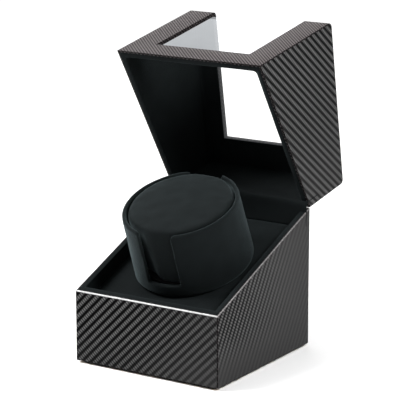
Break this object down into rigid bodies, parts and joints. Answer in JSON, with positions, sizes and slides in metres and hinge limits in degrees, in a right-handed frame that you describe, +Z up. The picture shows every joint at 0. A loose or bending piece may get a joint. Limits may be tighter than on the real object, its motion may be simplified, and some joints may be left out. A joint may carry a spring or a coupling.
{
  "type": "watch winder box",
  "caption": "Cube-shaped watch winder box, split on a slope: hinged lid with a bent clear window, and a motor-turned cup that holds a strap cushion.",
  "frame": {"origin": "centre of the base's footprint, on the underside of its felt pad", "axes": "+Z up, -Y to the front where the window is, +X to the right as seen from the front"},
  "size_m": [0.115, 0.1671, 0.2262],
  "materials": {
    "fibreboard": "fine-grained medium fibreboard",
    "black_fibreboard": "fine-grained medium fibreboard, stained black",
    "softwood": "planed softwood",
    "twill_leather": "black synthetic leather embossed with a carbon-fibre twill, satin",
    "velvet": "short black velvet",
    "flocked_cup": "black flocking on moulded plastic",
    "cushion_velvet": "soft black velvet over foam",
    "clear_acrylic": "clear polished acrylic",
    "black_felt": "black felt",
    "steel": "zinc-plated steel",
    "dark_nickel": "black nickel plating",
    "magnet": "nickel-plated magnet",
    "black_plastic": "fine-textured black plastic",
    "white_acetal": "natural acetal",
    "brass": "turned brass",
    "copper_winding": "enamelled copper on a steel core",
    "circuit_board": "green solder mask",
    "wire_red": "insulated wire"
  },
  "bodies": {
    "base": {"base_front_board": "fibreboard", "base_rear_board": "fibreboard", "base_left_board": "fibreboard", "base_right_board": "fibreboard", "base_floor_board": "fibreboard", "corner_blocks": "softwood", "base_leather": "twill_leather", "base_lining": "velvet", "deck_battens": "softwood", "deck_board": "fibreboard", "deck_velvet": "velvet", "base_magnets": "magnet", "base_felt": "black_felt", "floor_screws": "steel", "hinge_base_leaves": "dark_nickel", "hinge_pins": "dark_nickel", "hinge_base_screws": "steel", "gearbox_housing": "black_plastic", "gearbox_cover": "black_plastic", "gearbox_screws": "steel", "gear_pins": "steel", "spindle_bush": "brass", "motor_can": "steel", "motor_magnet": "magnet", "motor_end_cap": "white_acetal", "motor_screws": "steel", "control_board": "circuit_board", "board_components": "black_plastic", "mode_switch": "black_plastic", "panel_nuts": "steel", "dc_jack": "black_plastic", "jack_pin": "steel", "hinge_flap": "velvet", "lead_wires": "wire_red"},
    "lid": {"lid_front_frame": "black_fibreboard", "lid_top_frame": "black_fibreboard", "lid_left_board": "black_fibreboard", "lid_right_board": "black_fibreboard", "lid_rear_board": "black_fibreboard", "lid_leather": "twill_leather", "lid_lining": "velvet", "window_pane": "clear_acrylic", "lid_magnets": "magnet", "hinge_lid_leaves": "dark_nickel", "hinge_lid_screws": "steel"},
    "turntable": {"cup": "flocked_cup", "cup_hub": "white_acetal", "hub_screws": "steel", "output_shaft": "steel", "shaft_screw": "steel", "output_gear": "white_acetal"},
    "watch_cushion": {"cushion": "cushion_velvet", "cushion_base": "black_plastic"},
    "second_gear": {"second_gear": "white_acetal"},
    "first_gear": {"first_gear": "white_acetal"},
    "motor_rotor": {"motor_shaft": "steel", "motor_armature": "copper_winding", "motor_pinion": "brass"},
    "mode_control": {"mode_shaft": "steel", "mode_knob": "black_plastic"}
  },
  "joints": [
    {"name": "lid_hinge", "type": "hinge", "parent": "base", "child": "lid", "pos_m": [0, 0.06, 0.10015], "axis": [-1, 0, 0], "range_deg": [-80, 0], "deforming": ["hinge_flap"]},
    {"name": "turntable_spin", "type": "hinge", "parent": "base", "child": "turntable", "pos_m": [0, 0.00518, 0.05627], "axis": [0, -0.3747, 0.9271], "continuous": true},
    {"name": "cushion_lift", "type": "slide", "parent": "turntable", "child": "watch_cushion", "axis": [0, -0.3747, 0.9271], "range_m": [0, 0.008]},
    {"name": "second_gear_spin", "type": "hinge", "parent": "base", "child": "second_gear", "pos_m": [-0.01032, 0.01885, 0.0618], "axis": [0, -0.3747, 0.9271], "continuous": true},
    {"name": "first_gear_spin", "type": "hinge", "parent": "base", "child": "first_gear", "pos_m": [0.00419, 0.02236, 0.06321], "axis": [0, -0.3747, 0.9271], "continuous": true},
    {"name": "motor_spin", "type": "hinge", "parent": "base", "child": "motor_rotor", "pos_m": [0.01828, 0.02135, 0.05202], "axis": [0, -0.3747, 0.9271], "continuous": true},
    {"name": "mode_knob_turn", "type": "hinge", "parent": "base", "child": "mode_control", "pos_m": [0.02, 0.065, 0.0295], "axis": [0, 1, 0], "range_deg": [0, 90]}
  ],
  "couplings": [
    {"joint": "second_gear_spin", "follows": "turntable_spin", "ratio": -5},
    {"joint": "first_gear_spin", "follows": "turntable_spin", "ratio": 20},
    {"joint": "motor_spin", "follows": "turntable_spin", "ratio": -80}
  ]
}
